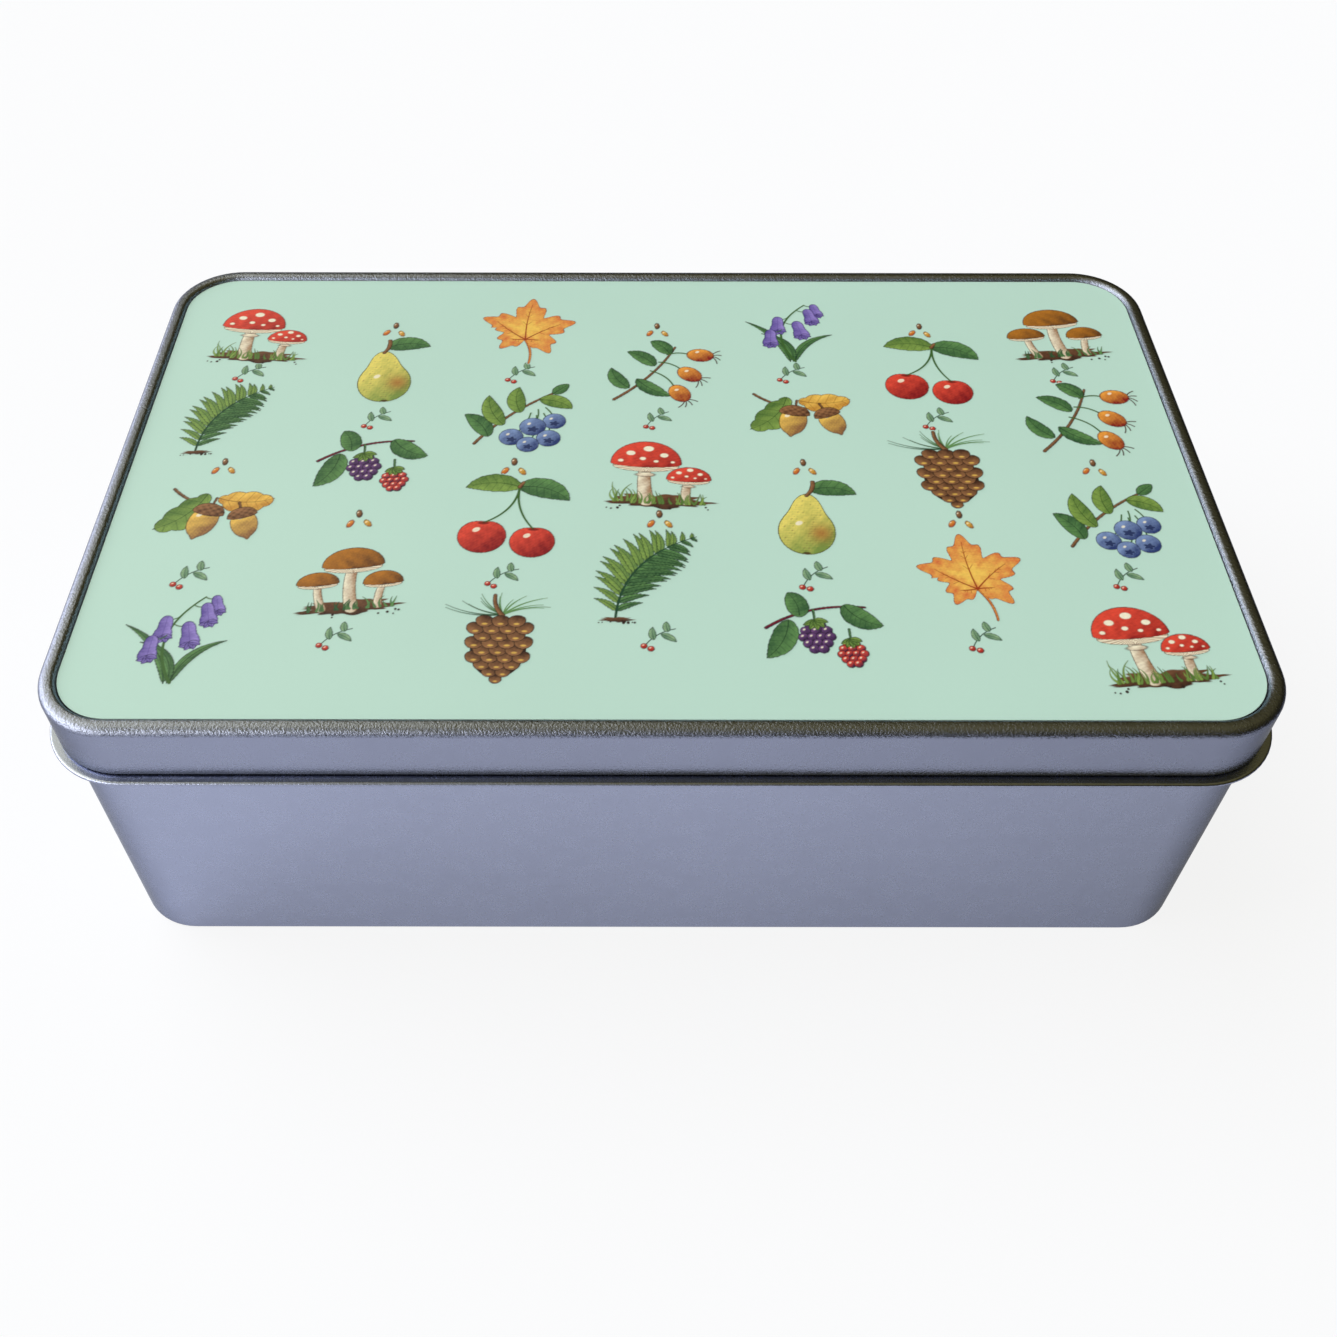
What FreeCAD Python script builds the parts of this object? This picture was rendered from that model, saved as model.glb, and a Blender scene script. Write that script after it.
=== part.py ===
import math
import os

import FreeCAD
import Part
import Sketcher

# A tinplate storage tin with a slip lid. The origin is on the floor under the middle of the tin, +Z is up,
# -Y is the front and X runs along the length. Millimetres.

Vector = FreeCAD.Vector

# Driving dimensions: name, value and meaning.
SIZES = [
    ("body_length", "197.7", "wall, outside, left to right"),
    ("body_width", "120.1", "wall, outside, front to back"),
    ("body_corner", "11.7", "wall, outside radius of the upright corners"),
    ("tin_height", "63.1", "floor to the top of the lid's rim"),
    ("sheet", "0.25", "thickness of the tinplate"),
    ("foot_bend", "0.35", "inside radius where the wall turns in under the base"),
    ("seam_width", "3.2", "wall outside to the inner edge of the base seam"),
    ("seam_gap", "0.08", "sealant between the layers of the base seam"),
    ("base_border", "5.0", "wall outside to the step in the base"),
    ("base_rise", "0.8", "height of the step in the base"),
    ("base_bend", "0.6", "inside radius of the two bends of that step"),
    ("bead_radius", "0.45", "outside radius of the stop bead's crest, half its thickness"),
    ("bead_reach", "2.65", "wall outside to the crest of the stop bead"),
    ("bead_root", "0.5", "hollow radius where the stop bead leaves the wall and the neck"),
    ("curl_radius", "0.9", "outside radius of the curl at the top of the neck"),
    ("headroom", "0.6", "neck curl to the underside of the lid's panel"),
    ("side_seam_width", "5.0", "lock seam at the middle of the back, inside"),
    ("side_seam_end", "0.6", "clearance above and below each length of the lock seam"),
    ("groove_width", "0.4", "fold line of the lock seam, outside"),
    ("groove_depth", "0.1", "depth of that fold line"),
    ("lid_height", "11.6", "lower edge of the lid to the top of its rim"),
    ("lid_clearance", "0.35", "neck to the hem of the lid, all round"),
    ("seat_gap", "0.3", "stop bead to the lower edge of the lid"),
    ("hem_height", "3.5", "height of the folded hem of the lid's skirt"),
    ("hem_gap", "0.3", "space inside that fold"),
    ("rim_edge", "1.6", "outside radius between the lid's rim and the skirt"),
    ("rim_flat", "0.35", "flat top of the rim"),
    ("rim_shoulder", "0.85", "outside radius between the flat top and the rim's inner slope"),
    ("rim_cove", "0.2", "hollow radius between the panel and that slope"),
    ("plate_recess", "0.8", "top of the insert plate below the top of the rim"),
    ("plate_thickness", "0.3", "aluminium insert plate"),
    ("plate_margin", "3.05", "skirt outside to the edge of the insert plate"),
    ("plate_gap", "0.05", "insert plate to the foot of the rim's slope, all round"),
    ("adhesive_thickness", "0.15", "adhesive sheet under the insert plate"),
    ("adhesive_margin", "1.5", "edge of the insert plate to the edge of the adhesive"),
]

# Places that follow from the sizes. X is the distance in front of the tin's middle plane, Z the height.
# Each place on a folded sheet is on its middle line.
PLACES = [
    ("half_length", "Sizes.body_length / 2"),
    ("wall_face", "Sizes.body_width / 2"),
    ("half_sheet", "Sizes.sheet / 2"),
    ("fold_radius", "Sizes.sheet + Sizes.seam_gap"),
    ("wall_fold_x", "wall_face - Sizes.seam_width + fold_radius + half_sheet"),
    ("wall_fold_z", "half_sheet + fold_radius"),
    ("base_fold_x", "wall_face - Sizes.sheet - Sizes.seam_gap - half_sheet - fold_radius"),
    ("base_fold_z", "wall_fold_z + fold_radius"),
    ("foot_radius", "Sizes.foot_bend + half_sheet"),
    ("foot_x", "wall_face - half_sheet - foot_radius"),
    ("foot_z", "half_sheet + foot_radius"),
    ("flange_z", "base_fold_z + fold_radius"),
    ("step_radius", "Sizes.base_bend + half_sheet"),
    ("step_x", "wall_face - Sizes.base_border"),
    ("step_low_z", "flange_z + step_radius"),
    ("step_high_z", "flange_z + Sizes.base_rise - step_radius"),
    ("base_panel_inset", "Sizes.base_border + 4 * step_radius"),
    ("base_panel_x", "wall_face - base_panel_inset"),
    ("base_panel_z", "flange_z + Sizes.base_rise"),
    ("lid_edge", "Sizes.tin_height - Sizes.lid_height"),
    ("bead_mid", "Sizes.bead_radius - half_sheet"),
    ("bead_x", "wall_face + Sizes.bead_reach - Sizes.bead_radius"),
    ("bead_z", "lid_edge - Sizes.seat_gap - Sizes.bead_radius"),
    ("root_mid", "Sizes.bead_root + half_sheet"),
    ("root_x", "wall_face + Sizes.bead_root"),
    ("low_root_z", "bead_z - bead_mid - root_mid"),
    ("high_root_z", "bead_z + bead_mid + root_mid"),
    ("plate_top", "Sizes.tin_height - Sizes.plate_recess"),
    ("plate_z", "plate_top - Sizes.plate_thickness"),
    ("adhesive_z", "plate_z - Sizes.adhesive_thickness"),
    ("panel_z", "adhesive_z - half_sheet"),
    ("neck_top", "panel_z - half_sheet - Sizes.headroom"),
    ("curl_mid", "Sizes.curl_radius - half_sheet"),
    ("curl_x", "wall_face - Sizes.curl_radius"),
    ("curl_z", "neck_top - Sizes.curl_radius"),
    ("hem_mid", "(Sizes.sheet + Sizes.hem_gap) / 2"),
    ("hem_x", "wall_face + Sizes.lid_clearance + half_sheet + hem_mid"),
    ("hem_z", "lid_edge + half_sheet + hem_mid"),
    ("hem_top", "lid_edge + Sizes.hem_height"),
    ("skirt_x", "hem_x + hem_mid"),
    ("edge_mid", "Sizes.rim_edge - half_sheet"),
    ("edge_x", "skirt_x - edge_mid"),
    ("edge_z", "Sizes.tin_height - Sizes.rim_edge"),
    ("shoulder_mid", "Sizes.rim_shoulder - half_sheet"),
    ("shoulder_x", "edge_x - Sizes.rim_flat"),
    ("shoulder_z", "Sizes.tin_height - Sizes.rim_shoulder"),
    ("plate_x", "skirt_x + half_sheet - Sizes.plate_margin"),
    ("plate_inset", "wall_face - plate_x"),
    ("cove_mid", "Sizes.rim_cove + half_sheet"),
    ("cove_x", "plate_x + Sizes.plate_gap - Sizes.rim_cove"),
    ("cove_z", "panel_z + cove_mid"),
    ("adhesive_inset", "plate_inset + Sizes.adhesive_margin"),
    ("panel_x", "wall_face - adhesive_inset"),
    ("side_seam_depth", "2 * Sizes.sheet"),
    ("low_seam_z", "flange_z + half_sheet + Sizes.side_seam_end"),
    ("low_seam_top", "bead_z - Sizes.bead_radius - Sizes.bead_root - Sizes.side_seam_end"),
    ("high_seam_z", "bead_z + Sizes.bead_radius + Sizes.bead_root + Sizes.side_seam_end"),
    ("high_seam_top", "neck_top - 2 * Sizes.curl_radius - Sizes.side_seam_end"),
]

# A section is drawn in the tin's middle plane: its X points to the front and its Y up.
FORWARD, UPWARD, LEFTWARD = Vector(0, -1, 0), Vector(0, 0, 1), Vector(-1, 0, 0)
SECTION_PLANE = FreeCAD.Placement(Vector(), FreeCAD.Rotation(FORWARD, UPWARD, LEFTWARD))
# The sketcher's own numbers: a sketch's origin, the upright axis next to it and the points of a piece.
ORIGIN = -1
UPRIGHT_AXIS = ORIGIN - 1
START, END, CENTRE = range(1, 4)


def fill_sheet(name, rows, prefix):
    """A spreadsheet with one aliased cell for each row."""
    sheet = doc.addObject("Spreadsheet::Sheet", name)
    for number, row in enumerate(rows, start=1):
        sheet.set(f"A{number}", row[0])
        sheet.set(f"B{number}", prefix + row[1])
        sheet.setAlias(f"B{number}", row[0])
        sheet.set(f"C{number}", row[-1] if len(row) > 2 else "")
    doc.recompute()


def bind(sketch, kind, *where, place):
    """A dimension of a sketch that takes its value from a named place or size."""
    number = sketch.addConstraint(Sketcher.Constraint(kind, *where, value_of(place)))
    sketch.setExpression(f"Constraints[{number}]", place)


def value_of(place):
    """The present value of a name such as Places.edge_x."""
    sheet, alias = place.split(".")
    return float(doc.getObject(sheet).get(alias))


def arc_from(centre, radius, first, last):
    """An arc through the angles first to last, in degrees, which may turn either way."""
    low, high = sorted((first, last))
    circle = Part.Circle(centre, Vector(0, 0, 1), radius)
    return Part.ArcOfCircle(circle, math.radians(low), math.radians(high))


class Section:
    """The middle line of a folded sheet, which runs like a belt round named bends.

    Every bend is an arc with its centre and radius bound to places, and straight runs join the bends at
    tangents. A bend that touches the one before it has no run between, and leaves one coordinate of its
    centre to the tangent.
    """

    def __init__(self, name):
        self.sketch = doc.addObject("Sketcher::SketchObject", name)
        self.sketch.Placement = SECTION_PLANE
        self.tail = None
        self.free_end = None

    def point(self, piece, end):
        return self.sketch.getPoint(piece, end)

    def begin(self, axis, place):
        """The sheet's edge, held along one axis."""
        self.free_end = (axis, place)

    def bend(self, x, z, radius, first, last, touching=False):
        """A bend about x, z, each a place or the number from which a free coordinate is solved."""
        sketch = self.sketch
        centre = [value_of(c) if isinstance(c, str) else c for c in (x, z)]
        arc = sketch.addGeometry(arc_from(Vector(*centre, 0), value_of(radius), first, last))
        entry, leave = (START, END) if last > first else (END, START)
        bind(sketch, "Radius", arc, place=radius)
        for kind, place in (("DistanceX", x), ("DistanceY", z)):
            if isinstance(place, str):
                bind(sketch, kind, ORIGIN, START, arc, CENTRE, place=place)
        if touching:
            sketch.addConstraint(Sketcher.Constraint("Tangent", *self.tail, arc, entry))
        else:
            self.run_to(arc, entry)
        self.tail = (arc, leave)

    def run_to(self, arc, entry):
        """A straight run from the last bend, or from the sheet's edge, to the next bend."""
        sketch = self.sketch
        goal = self.point(arc, entry)
        origin = self.point(*self.tail) if self.tail else self.edge_beside(goal, self.free_end)
        run = sketch.addGeometry(Part.LineSegment(origin, goal))
        sketch.addConstraint(Sketcher.Constraint("Tangent", run, END, arc, entry))
        if self.tail:
            sketch.addConstraint(Sketcher.Constraint("Tangent", *self.tail, run, START))
        else:
            self.hold(run, START, self.free_end)

    def finish(self, axis, place):
        """A last straight run to the sheet's other edge."""
        sketch = self.sketch
        origin = self.point(*self.tail)
        run = sketch.addGeometry(Part.LineSegment(origin, self.edge_beside(origin, (axis, place))))
        sketch.addConstraint(Sketcher.Constraint("Tangent", *self.tail, run, START))
        self.hold(run, END, (axis, place))

    def finish_curl(self):
        """The last bend ends straight below its own centre."""
        arc, end = self.tail
        self.sketch.addConstraint(Sketcher.Constraint("Vertical", arc, CENTRE, arc, end))

    def edge_beside(self, neighbour, edge):
        axis, place = edge
        value = value_of(place)
        return Vector(value, neighbour.y, 0) if axis == "X" else Vector(neighbour.x, value, 0)

    def hold(self, piece, end, edge):
        axis, place = edge
        bind(self.sketch, "Distance" + axis, ORIGIN, START, piece, end, place=place)

    def carry_round(self, outline, name):
        """The sheet of this section, carried round the tin's outline."""
        face = doc.addObject("Part::Offset2D", name + "_face")
        face.Source = self.sketch
        face.Mode = "Pipe"
        face.Fill = True
        face.setExpression("Value", "Places.half_sheet")
        doc.recompute()
        sweep = doc.addObject("Part::Sweep", name + "_sweep")
        sweep.Sections = [face]
        sweep.Spine = (outline, [f"Edge{n + 1}" for n in range(len(outline.Shape.Edges))])
        sweep.Solid = True
        return sweep


def tin_outline():
    """The outside of the wall in plan, a rounded rectangle that starts at the middle of the front."""
    half_length, half_width = value_of("Places.half_length"), value_of("Places.wall_face")
    corner = value_of("Sizes.body_corner")
    flat_x, flat_y = half_length - corner, half_width - corner
    sketch = doc.addObject("Sketcher::SketchObject", "tin_outline")
    corners = [
        (Vector(flat_x, -flat_y, 0), -90),
        (Vector(flat_x, flat_y, 0), 0),
        (Vector(-flat_x, flat_y, 0), 90),
        (Vector(-flat_x, -flat_y, 0), 180),
    ]
    middle = Vector(0, -half_width, 0)
    pen = middle
    pieces = []
    for centre, angle in corners:
        arc = arc_from(centre, corner, angle, angle + 90)
        pieces.append(sketch.addGeometry(Part.LineSegment(pen, arc.StartPoint)))
        pieces.append(sketch.addGeometry(arc))
        bind(sketch, "Radius", pieces[-1], place="Sizes.body_corner")
        pen = arc.EndPoint
    pieces.append(sketch.addGeometry(Part.LineSegment(pen, middle)))
    for piece, following in zip(pieces, pieces[1:] + pieces[:1]):
        sketch.addConstraint(Sketcher.Constraint("Tangent", piece, END, following, START))
    front, right, back, left = pieces[0], pieces[2], pieces[4], pieces[6]
    sketch.addConstraint(Sketcher.Constraint("Horizontal", front))
    for side in (right, left):
        sketch.addConstraint(Sketcher.Constraint("Vertical", side))
    bind(sketch, "DistanceY", front, START, ORIGIN, START, place="Places.wall_face")
    bind(sketch, "DistanceY", ORIGIN, START, back, START, place="Places.wall_face")
    bind(sketch, "DistanceX", ORIGIN, START, right, START, place="Places.half_length")
    bind(sketch, "DistanceX", left, START, ORIGIN, START, place="Places.half_length")
    sketch.addConstraint(Sketcher.Constraint("PointOnObject", front, START, UPRIGHT_AXIS))
    doc.recompute()
    return sketch


def flat_sheet(outline, name, inset, thickness, height):
    """A flat sheet inset from the tin's outline, with its underside at a height."""
    edge = doc.addObject("Part::Offset2D", name + "_edge")
    edge.Source = outline
    edge.setExpression("Value", f"-{inset}")
    sheet = doc.addObject("Part::Extrusion", name)
    sheet.Base = edge
    sheet.DirMode = "Custom"
    sheet.Dir = Vector(0, 0, 1)
    sheet.Solid = True
    sheet.setExpression("LengthFwd", thickness)
    sheet.setExpression(".Placement.Base.z", height)
    return sheet


def upright_strip(name, x, y, width, depth, bottom, top):
    """A plain upright strip, placed by its middle in X and by its front face in Y."""
    strip = doc.addObject("Part::Box", name)
    strip.setExpression("Length", width)
    strip.setExpression("Width", depth)
    strip.setExpression("Height", f"{top} - {bottom}")
    strip.setExpression(".Placement.Base.x", f"{x} - {width} / 2")
    strip.setExpression(".Placement.Base.y", y)
    strip.setExpression(".Placement.Base.z", bottom)
    return strip


def joined(name, pieces):
    """One pressed piece made of several forms."""
    fuse = doc.addObject("Part::MultiFuse", name)
    fuse.Shapes = pieces
    fuse.Refine = True
    return fuse


def body_wall(outline):
    """The wrapped wall: base seam, folded stop bead, neck with its inward curl and a lock seam at the back."""
    section = Section("wall_section")
    section.begin("X", "Places.base_fold_x")
    section.bend("Places.wall_fold_x", "Places.wall_fold_z", "Places.fold_radius", 90, 270)
    section.bend("Places.foot_x", "Places.foot_z", "Places.foot_radius", -90, 0)
    section.bend("Places.root_x", "Places.low_root_z", "Places.root_mid", 180, 90)
    section.bend("Places.bead_x", "Places.bead_z", "Places.bead_mid", -90, 90)
    section.bend("Places.root_x", "Places.high_root_z", "Places.root_mid", -90, -180)
    section.bend("Places.curl_x", "Places.curl_z", "Places.curl_mid", 0, 270)
    section.finish_curl()
    wrapped = section.carry_round(outline, "wall")
    face = "Places.wall_face - Sizes.sheet - Places.side_seam_depth"
    depth = "Places.side_seam_depth + Places.half_sheet"
    width = "Sizes.side_seam_width"
    strips = [
        upright_strip(name, "0", face, width, depth, f"Places.{name}_z", f"Places.{name}_top")
        for name in ("low_seam", "high_seam")
    ]
    seamed = joined("seamed_wall", [wrapped, *strips])
    groove = upright_strip(
        "seam_groove", f"{width} / 2", "Places.wall_face - Sizes.groove_depth",
        "Sizes.groove_width", "2 * Sizes.groove_depth", "Places.low_seam_z", "Places.low_seam_top",
    )
    wall = doc.addObject("Part::Cut", "body_wall")
    wall.Base = seamed
    wall.Tool = groove
    return wall


def base_plate(outline):
    """The pressed base: a raised panel whose border hooks into the wall's seam."""
    section = Section("base_section")
    section.begin("X", "Places.wall_fold_x")
    section.bend("Places.base_fold_x", "Places.base_fold_z", "Places.fold_radius", -90, 90)
    section.bend("Places.step_x", "Places.step_low_z", "Places.step_radius", 270, 220)
    run_in = value_of("Places.step_x") - 2 * value_of("Places.step_radius")
    section.bend(run_in, "Places.step_high_z", "Places.step_radius", 40, 90, touching=True)
    section.finish("X", "Places.base_panel_x")
    border = section.carry_round(outline, "base")
    underside = "Places.base_panel_z - Places.half_sheet"
    panel = flat_sheet(outline, "base_panel", "Places.base_panel_inset", "Sizes.sheet", underside)
    return joined("base_plate", [border, panel])


def lid_shell(outline):
    """The drawn lid: sunk panel, sloped rim, upright skirt and a hem folded inside its lower edge."""
    section = Section("lid_section")
    section.begin("X", "Places.panel_x")
    section.bend("Places.cove_x", "Places.cove_z", "Places.cove_mid", -90, -30)
    section.bend("Places.shoulder_x", "Places.shoulder_z", "Places.shoulder_mid", 150, 90)
    section.bend("Places.edge_x", "Places.edge_z", "Places.edge_mid", 90, 0)
    section.bend("Places.hem_x", "Places.hem_z", "Places.hem_mid", 0, -180)
    section.finish("Y", "Places.hem_top")
    border = section.carry_round(outline, "lid")
    underside = "Places.panel_z - Places.half_sheet"
    panel = flat_sheet(outline, "lid_panel", "Places.adhesive_inset", "Sizes.sheet", underside)
    return joined("lid_shell", [border, panel])


def check(pieces):
    """Stops if any object of the document failed or any piece is not one sound solid."""
    for item in doc.Objects:
        if "Invalid" in item.State or "Error" in item.State:
            raise RuntimeError(f"{item.Name} failed: {item.State}")
    for piece in pieces:
        shape = piece.Shape
        if shape.isNull() or not shape.isValid() or len(shape.Solids) != 1:
            raise RuntimeError(f"{piece.Label} is not one sound solid")
        print(f"{piece.Label}: {shape.Volume:.1f} mm3, {shape.optimalBoundingBox()}")


doc = FreeCAD.newDocument("storage_tin")
fill_sheet("Sizes", SIZES, "")
fill_sheet("Places", PLACES, "=")
tin = tin_outline()
glued = ("adhesive_sheet", "Places.adhesive_inset", "Sizes.adhesive_thickness", "Places.adhesive_z")
printed = ("insert_plate", "Places.plate_inset", "Sizes.plate_thickness", "Places.plate_z")
pieces = [body_wall(tin), base_plate(tin), lid_shell(tin), flat_sheet(tin, *glued), flat_sheet(tin, *printed)]
doc.recompute()
check(pieces)
os.makedirs("parts", exist_ok=True)
for piece in pieces:
    piece.Shape.exportStep(f"parts/{piece.Label}.step")
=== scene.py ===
import math

import bpy
import numpy as np
from mathutils import Matrix, Vector


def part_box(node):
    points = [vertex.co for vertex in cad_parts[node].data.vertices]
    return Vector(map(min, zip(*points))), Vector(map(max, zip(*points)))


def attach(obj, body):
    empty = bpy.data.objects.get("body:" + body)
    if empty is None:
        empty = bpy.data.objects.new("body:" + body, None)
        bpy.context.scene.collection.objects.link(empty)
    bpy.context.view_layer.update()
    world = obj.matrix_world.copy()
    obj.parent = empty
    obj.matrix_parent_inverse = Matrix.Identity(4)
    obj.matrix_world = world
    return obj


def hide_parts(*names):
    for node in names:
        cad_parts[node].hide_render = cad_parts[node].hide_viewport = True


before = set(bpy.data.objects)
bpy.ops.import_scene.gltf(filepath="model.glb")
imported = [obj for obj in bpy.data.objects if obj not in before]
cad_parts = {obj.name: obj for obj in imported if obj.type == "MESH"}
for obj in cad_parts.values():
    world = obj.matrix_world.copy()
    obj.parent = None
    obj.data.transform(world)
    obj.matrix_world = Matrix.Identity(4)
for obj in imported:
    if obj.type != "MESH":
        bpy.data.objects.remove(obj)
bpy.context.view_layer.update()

# A tinplate storage tin with a slip lid. Sections and prints are worked out in millimetres, with complex
# numbers for points in a plane, and the meshes are in metres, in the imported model's own frame.
MM = 0.001

# The folded sheets. Places in a section are outward from the wall's outside face + 1j * height.
SHEET = 0.25
CORNER = 11.7
FOLD = 0.33
FOOT = 0.475
BASE_STEP = 0.725
BASE_BORDER = 5.0
BASE_RISE = 0.8
SEAM_WIDTH = 3.2
SEAM_GAP = 0.08
BEAD_REACH = 2.65
BEAD = 0.325
BEAD_ROOT = 0.625
SEAT_GAP = 0.3
CURL = 0.775
LID_CLEARANCE = 0.35
HEM = 0.275
HEM_HEIGHT = 3.5
RIM_EDGE = 1.475
RIM_FLAT = 0.35
RIM_SHOULDER = 0.725
CROWN_TURN = 8.0
RIM_COVE = 0.325
PLATE_GAP = 0.05
LOCK_SEAM = 5.0
LOCK_SEAM_DEPTH = 0.5
FOLD_LINE = 0.2
FOLD_LINE_DEPTH = 0.1

_, wall_high = (np.array(corner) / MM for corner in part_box("body_wall"))
lid_low, lid_high = (np.array(corner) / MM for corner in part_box("lid_shell"))
plate_low, plate_high = (np.array(corner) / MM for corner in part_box("insert_plate"))
glue_low, glue_high = (np.array(corner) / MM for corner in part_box("adhesive_sheet"))
FLAT_X = wall_high[0] - BEAD_REACH - CORNER
FLAT_Y = wall_high[1] - BEAD_REACH - CORNER

# How finely bends are divided, in degrees, and corners and sides, in steps. Beside a bend, a flat is held by
# points HOLD mm away.
BEND_STEP = 9.0
CORNER_STEPS = 14
SIDE_STEPS = 12
HOLD = 0.15
TOUCHING = 1e-6


def spoke(degrees):
    """The unit direction at an angle, as a complex number."""
    return np.exp(1j * np.radians(degrees))


def belt(*bends, start=None, end=None, stations=()):
    """The middle line of a folded sheet: its points and its unit tangents.

    A bend is (centre, radius, first angle, last angle) and gives centre + radius * exp(i * angle), with the
    tangent a quarter turn on. Straight runs join the bends, and have points near their ends and at stations.
    """
    points, tangents = [], []
    for centre, radius, first, last in bends:
        steps = math.ceil(abs(last - first) / BEND_STEP)
        spokes = spoke(np.linspace(first, last, steps + 1))
        points.append(centre + radius * spokes)
        tangents.append(1j * np.sign(last - first) * spokes)
    if start is not None:
        points.insert(0, np.array([start]))
        tangents.insert(0, tangents[0][:1])
    if end is not None:
        points.append(np.array([end]))
        tangents.append(tangents[-1][-1:])
    line, way = [points[0]], [tangents[0]]
    for before, after, turn in zip(points, points[1:], tangents[1:]):
        run = after[0] - before[-1]
        length = abs(run)
        if length > 4 * HOLD:
            shares = [HOLD / length, 1 - HOLD / length]
            shares += [(s - before[-1].imag) / run.imag for s in stations if abs(run.imag) > HOLD]
            shares = np.sort([s for s in shares if 0 < s < 1])
            line.append(before[-1] + run * shares)
            way.append(np.full(len(shares), run / length))
        skip = int(length < TOUCHING)
        line.append(after[skip:])
        way.append(turn[skip:])
    return np.concatenate(line), np.concatenate(way)


def folded(line, way, panel=False):
    """Both faces of a sheet: its middle line moved half a sheet to either side, joined by half circles.

    Where a flat panel goes on from the near edge, the section stays open there.
    """
    half = SHEET / 2
    fan = spoke([60, 30, 0, -30, -60])
    left, right = line + 1j * way * half, line - 1j * way * half
    far, near = line[-1] + half * way[-1] * fan, line[0] - half * way[0] * fan
    return np.concatenate([left, far, right[::-1]] + ([] if panel else [near]))


def straight_stops(half, extra=()):
    """Places along a flat side from -half to half: near both ends, evenly between, and the extra ones."""
    even = np.linspace(-half, half, SIDE_STEPS + 1)[:-1]
    return np.unique(np.concatenate([even, [HOLD - half, half - HOLD], extra]))


def outline_stops():
    """The tin in plan as stops: a core point and an outward direction each, counterclockwise from the front.

    The outline at any reach is core + outward * (corner radius + reach), so every section follows it exactly.
    """
    seam = LOCK_SEAM / 2
    beside = FOLD_LINE * np.array([-2, -1, -0.5, 0, 0.5, 1, 2])
    back_extra = np.concatenate([seam + beside, beside - seam])
    turns = spoke(np.linspace(0, 90, CORNER_STEPS + 1)[:-1])
    cores, outward = [], []
    sides = [
        (-1j, FLAT_X, 1, FLAT_Y, ()),
        (1, FLAT_Y, 1j, FLAT_X, ()),
        (1j, FLAT_X, -1, FLAT_Y, -back_extra),
        (-1, FLAT_Y, -1j, FLAT_X, ()),
    ]
    for facing, half, along, depth, extra in sides:
        stops = straight_stops(half, extra)
        cores += [facing * depth + along * stops, np.full(CORNER_STEPS, facing * depth + along * half)]
        outward += [np.full(len(stops), facing), facing * turns]
    return np.concatenate(cores), np.concatenate(outward)


CORES, OUTWARD = outline_stops()


def carried(section):
    """A section carried round the tin: points over stops and section, core + outward * (corner + reach)."""
    plan = CORES[:, None] + OUTWARD[:, None] * (CORNER + section.real)
    height = np.broadcast_to(section.imag, plan.shape)
    return np.stack([plan.real, plan.imag, height], axis=-1)


def grid_faces(rows, columns, ring_rows=False, ring_columns=False):
    """The quads of a grid of points, which may close on itself either way."""
    number = np.arange(rows * columns).reshape(rows, columns)
    if ring_rows:
        number = np.concatenate([number, number[:1]])
    if ring_columns:
        number = np.concatenate([number, number[:, :1]], axis=1)
    quads = np.stack([number[:-1, :-1], number[:-1, 1:], number[1:, 1:], number[1:, :-1]], axis=-1)
    return quads.reshape(-1, 4)


def panel_faces(stops, width):
    """The two flat panels that close an open section: the first ring of points and the last."""
    first = np.arange(stops) * width
    return [first[None, :], (first + width - 1)[None, ::-1]]


# The bend, in radians per millimetre, at which a sheet's outside is fully rubbed.
WORN_BEND = 1.6


def wear_along(section, closed):
    """Rubbing on a section's tight outer bends, 0 to 1: its turning angle over its length, where convex."""
    step = np.roll(section, -1) - section
    before = np.roll(step, 1)
    bend = np.angle(step / before) / (0.5 * (abs(step) + abs(before)))
    if not closed:
        bend[[0, -1]] = 0
    area = 0.5 * np.sum((np.conj(section) * np.roll(section, -1)).imag)
    return np.clip(np.sign(area) * bend / WORN_BEND, 0, 1)


def make_piece(name, points, faces, materials, attributes=(), face_materials=None):
    """An object from points in millimetres and arrays of faces, with named values on its points."""
    mesh = bpy.data.meshes.new(name)
    corners = np.concatenate([block.ravel() for block in faces])
    sizes = np.concatenate([np.full(len(block), block.shape[1]) for block in faces])
    mesh.vertices.add(len(points))
    mesh.vertices.foreach_set("co", (points * MM).ravel())
    mesh.loops.add(len(corners))
    mesh.loops.foreach_set("vertex_index", corners)
    mesh.polygons.add(len(sizes))
    mesh.polygons.foreach_set("loop_start", np.cumsum(sizes) - sizes)
    mesh.polygons.foreach_set("use_smooth", np.ones(len(sizes), bool))
    if face_materials is not None:
        mesh.polygons.foreach_set("material_index", face_materials)
    for title, kind, channel, values in attributes:
        layer = mesh.attributes.new(title, kind, "POINT")
        layer.data.foreach_set(channel, np.ascontiguousarray(values, np.float32).ravel())
    for material in materials:
        mesh.materials.append(material)
    mesh.update(calc_edges=True)
    piece = bpy.data.objects.new(name, mesh)
    bpy.context.scene.collection.objects.link(piece)
    return piece


def make_skin(name, section, closed, material, shape=None):
    """A folded sheet carried round the tin, closed by two flat panels where its section is open."""
    points = carried(section)
    if shape is not None:
        points = shape(points)
    stops, width = points.shape[:2]
    faces = [grid_faces(stops, width, ring_rows=True, ring_columns=closed)]
    if not closed:
        faces += panel_faces(stops, width)
    marks = {"wear": wear_along(section, closed), "pressed": section.imag > lid_high[2] - RIM_EDGE}
    attributes = [
        (title, "FLOAT", "value", np.broadcast_to(mark, (stops, width))) for title, mark in marks.items()
    ]
    return make_piece(name, points.reshape(-1, 3), faces, [material], attributes)


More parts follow.
